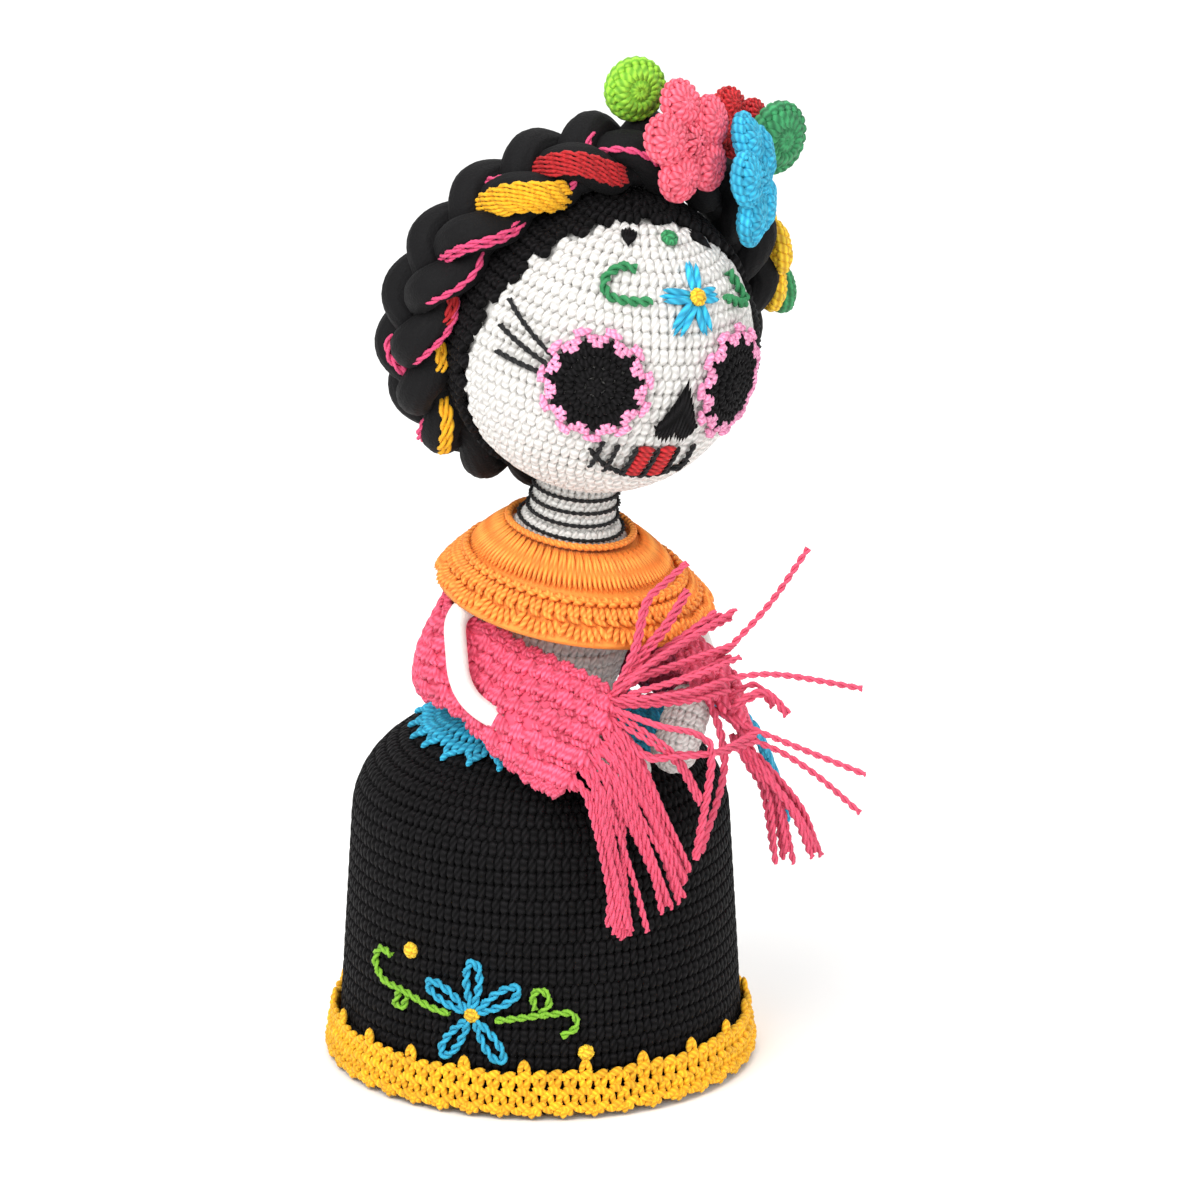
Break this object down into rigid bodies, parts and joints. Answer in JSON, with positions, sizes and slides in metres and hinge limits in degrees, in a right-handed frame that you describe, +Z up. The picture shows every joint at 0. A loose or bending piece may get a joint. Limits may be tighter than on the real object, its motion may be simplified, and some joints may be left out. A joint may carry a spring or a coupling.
{
  "type": "crocheted catrina doll",
  "caption": "Soft standing skeleton-lady doll with a bell skirt, leaning torso, ball head, plaited hair crown with flowers and a fringed shawl",
  "frame": {"origin": "middle of the underside of the base disc", "axes": "+Z up, the doll faces -Y, her right hand side is -X"},
  "size_m": [0.1063, 0.091, 0.2078],
  "materials": {
    "base_board": "plain kraft board",
    "black_yarn": "crocheted matte black acrylic yarn",
    "mustard_yarn": "crocheted mustard yellow yarn",
    "white_yarn": "crocheted off-white cotton yarn",
    "orange_yarn": "glossy orange yarn in long ribs",
    "pink_yarn": "coral pink yarn, two-ply twist",
    "rose_yarn": "pink crochet thread",
    "blue_yarn": "turquoise blue glossy yarn",
    "yellow_yarn": "lemon yellow glossy yarn",
    "red_yarn": "deep red yarn",
    "light_green_yarn": "lime green glossy yarn",
    "dark_green_yarn": "leaf green glossy yarn",
    "stuffing": "polyester fibre filling",
    "stick_wood": "plain birch dowel"
  },
  "bodies": {
    "doll_body": {"base_disc": "base_board", "skirt_bottom": "black_yarn", "skirt_shell": "black_yarn", "skirt_stuffing": "stuffing", "hem_trim": "mustard_yarn", "waist_frill": "blue_yarn", "sash_tail": "blue_yarn", "skirt_flower_petals": "blue_yarn", "skirt_vine": "light_green_yarn", "skirt_knots": "yellow_yarn", "torso_shell": "white_yarn", "torso_stuffing": "stuffing", "blouse_collar": "orange_yarn", "neck_stick": "stick_wood", "shawl_back": "pink_yarn"},
    "neck": {"neck_tube": "white_yarn", "neck_rings": "black_yarn"},
    "head": {"head_shell": "white_yarn", "head_stuffing": "stuffing", "hair_cap": "black_yarn", "hair_tufts": "black_yarn", "braid": "black_yarn", "ribbon_mustard": "mustard_yarn", "ribbon_red": "red_yarn", "ribbon_pink": "pink_yarn", "flower_pink": "pink_yarn", "flower_blue": "blue_yarn", "flower_yellow": "yellow_yarn", "flower_red": "red_yarn", "leaf_light_green": "light_green_yarn", "leaf_dark_green": "dark_green_yarn", "leaf_dark_green_lower": "dark_green_yarn", "nose_patch": "black_yarn", "mouth_thread": "black_yarn", "lip_thread": "red_yarn", "forehead_petals": "blue_yarn", "forehead_vine": "dark_green_yarn", "forehead_knots": "yellow_yarn", "eye_patch_right": "black_yarn", "eye_ring_right": "rose_yarn", "lashes_right": "black_yarn", "eye_patch_left": "black_yarn", "eye_ring_left": "rose_yarn", "lashes_left": "black_yarn"},
    "right_arm": {"right_arm": "white_yarn", "right_hand": "white_yarn", "shawl_right_end": "pink_yarn", "fringe_right": "pink_yarn"},
    "left_arm": {"left_arm": "white_yarn", "left_hand": "white_yarn", "shawl_left_end": "pink_yarn", "fringe_left": "pink_yarn"}
  },
  "joints": [
    {"name": "head_turn", "type": "hinge", "parent": "doll_body", "child": "neck", "pos_m": [0.00544, -0.00544, 0.122], "axis": [0.1097, -0.1097, 0.9879], "range_deg": [-30, 30], "stiffness_Nm_per_rad": 0.15},
    {"name": "head_nod", "type": "hinge", "parent": "neck", "child": "head", "pos_m": [0.00544, -0.00544, 0.122], "axis": [0.9939, 0, -0.1104], "range_deg": [-8, 8], "stiffness_Nm_per_rad": 0.4},
    {"name": "right_arm_lift", "type": "hinge", "parent": "doll_body", "child": "right_arm", "pos_m": [0.00269, -0.00269, 0.09718], "axis": [-1, 0, 0], "range_deg": [0, 20]},
    {"name": "left_arm_lift", "type": "hinge", "parent": "doll_body", "child": "left_arm", "pos_m": [0.00269, -0.00269, 0.09718], "axis": [-1, 0, 0], "range_deg": [0, 20]}
  ],
  "couplings": [
    {"joint": "left_arm_lift", "follows": "right_arm_lift", "ratio": 1}
  ]
}
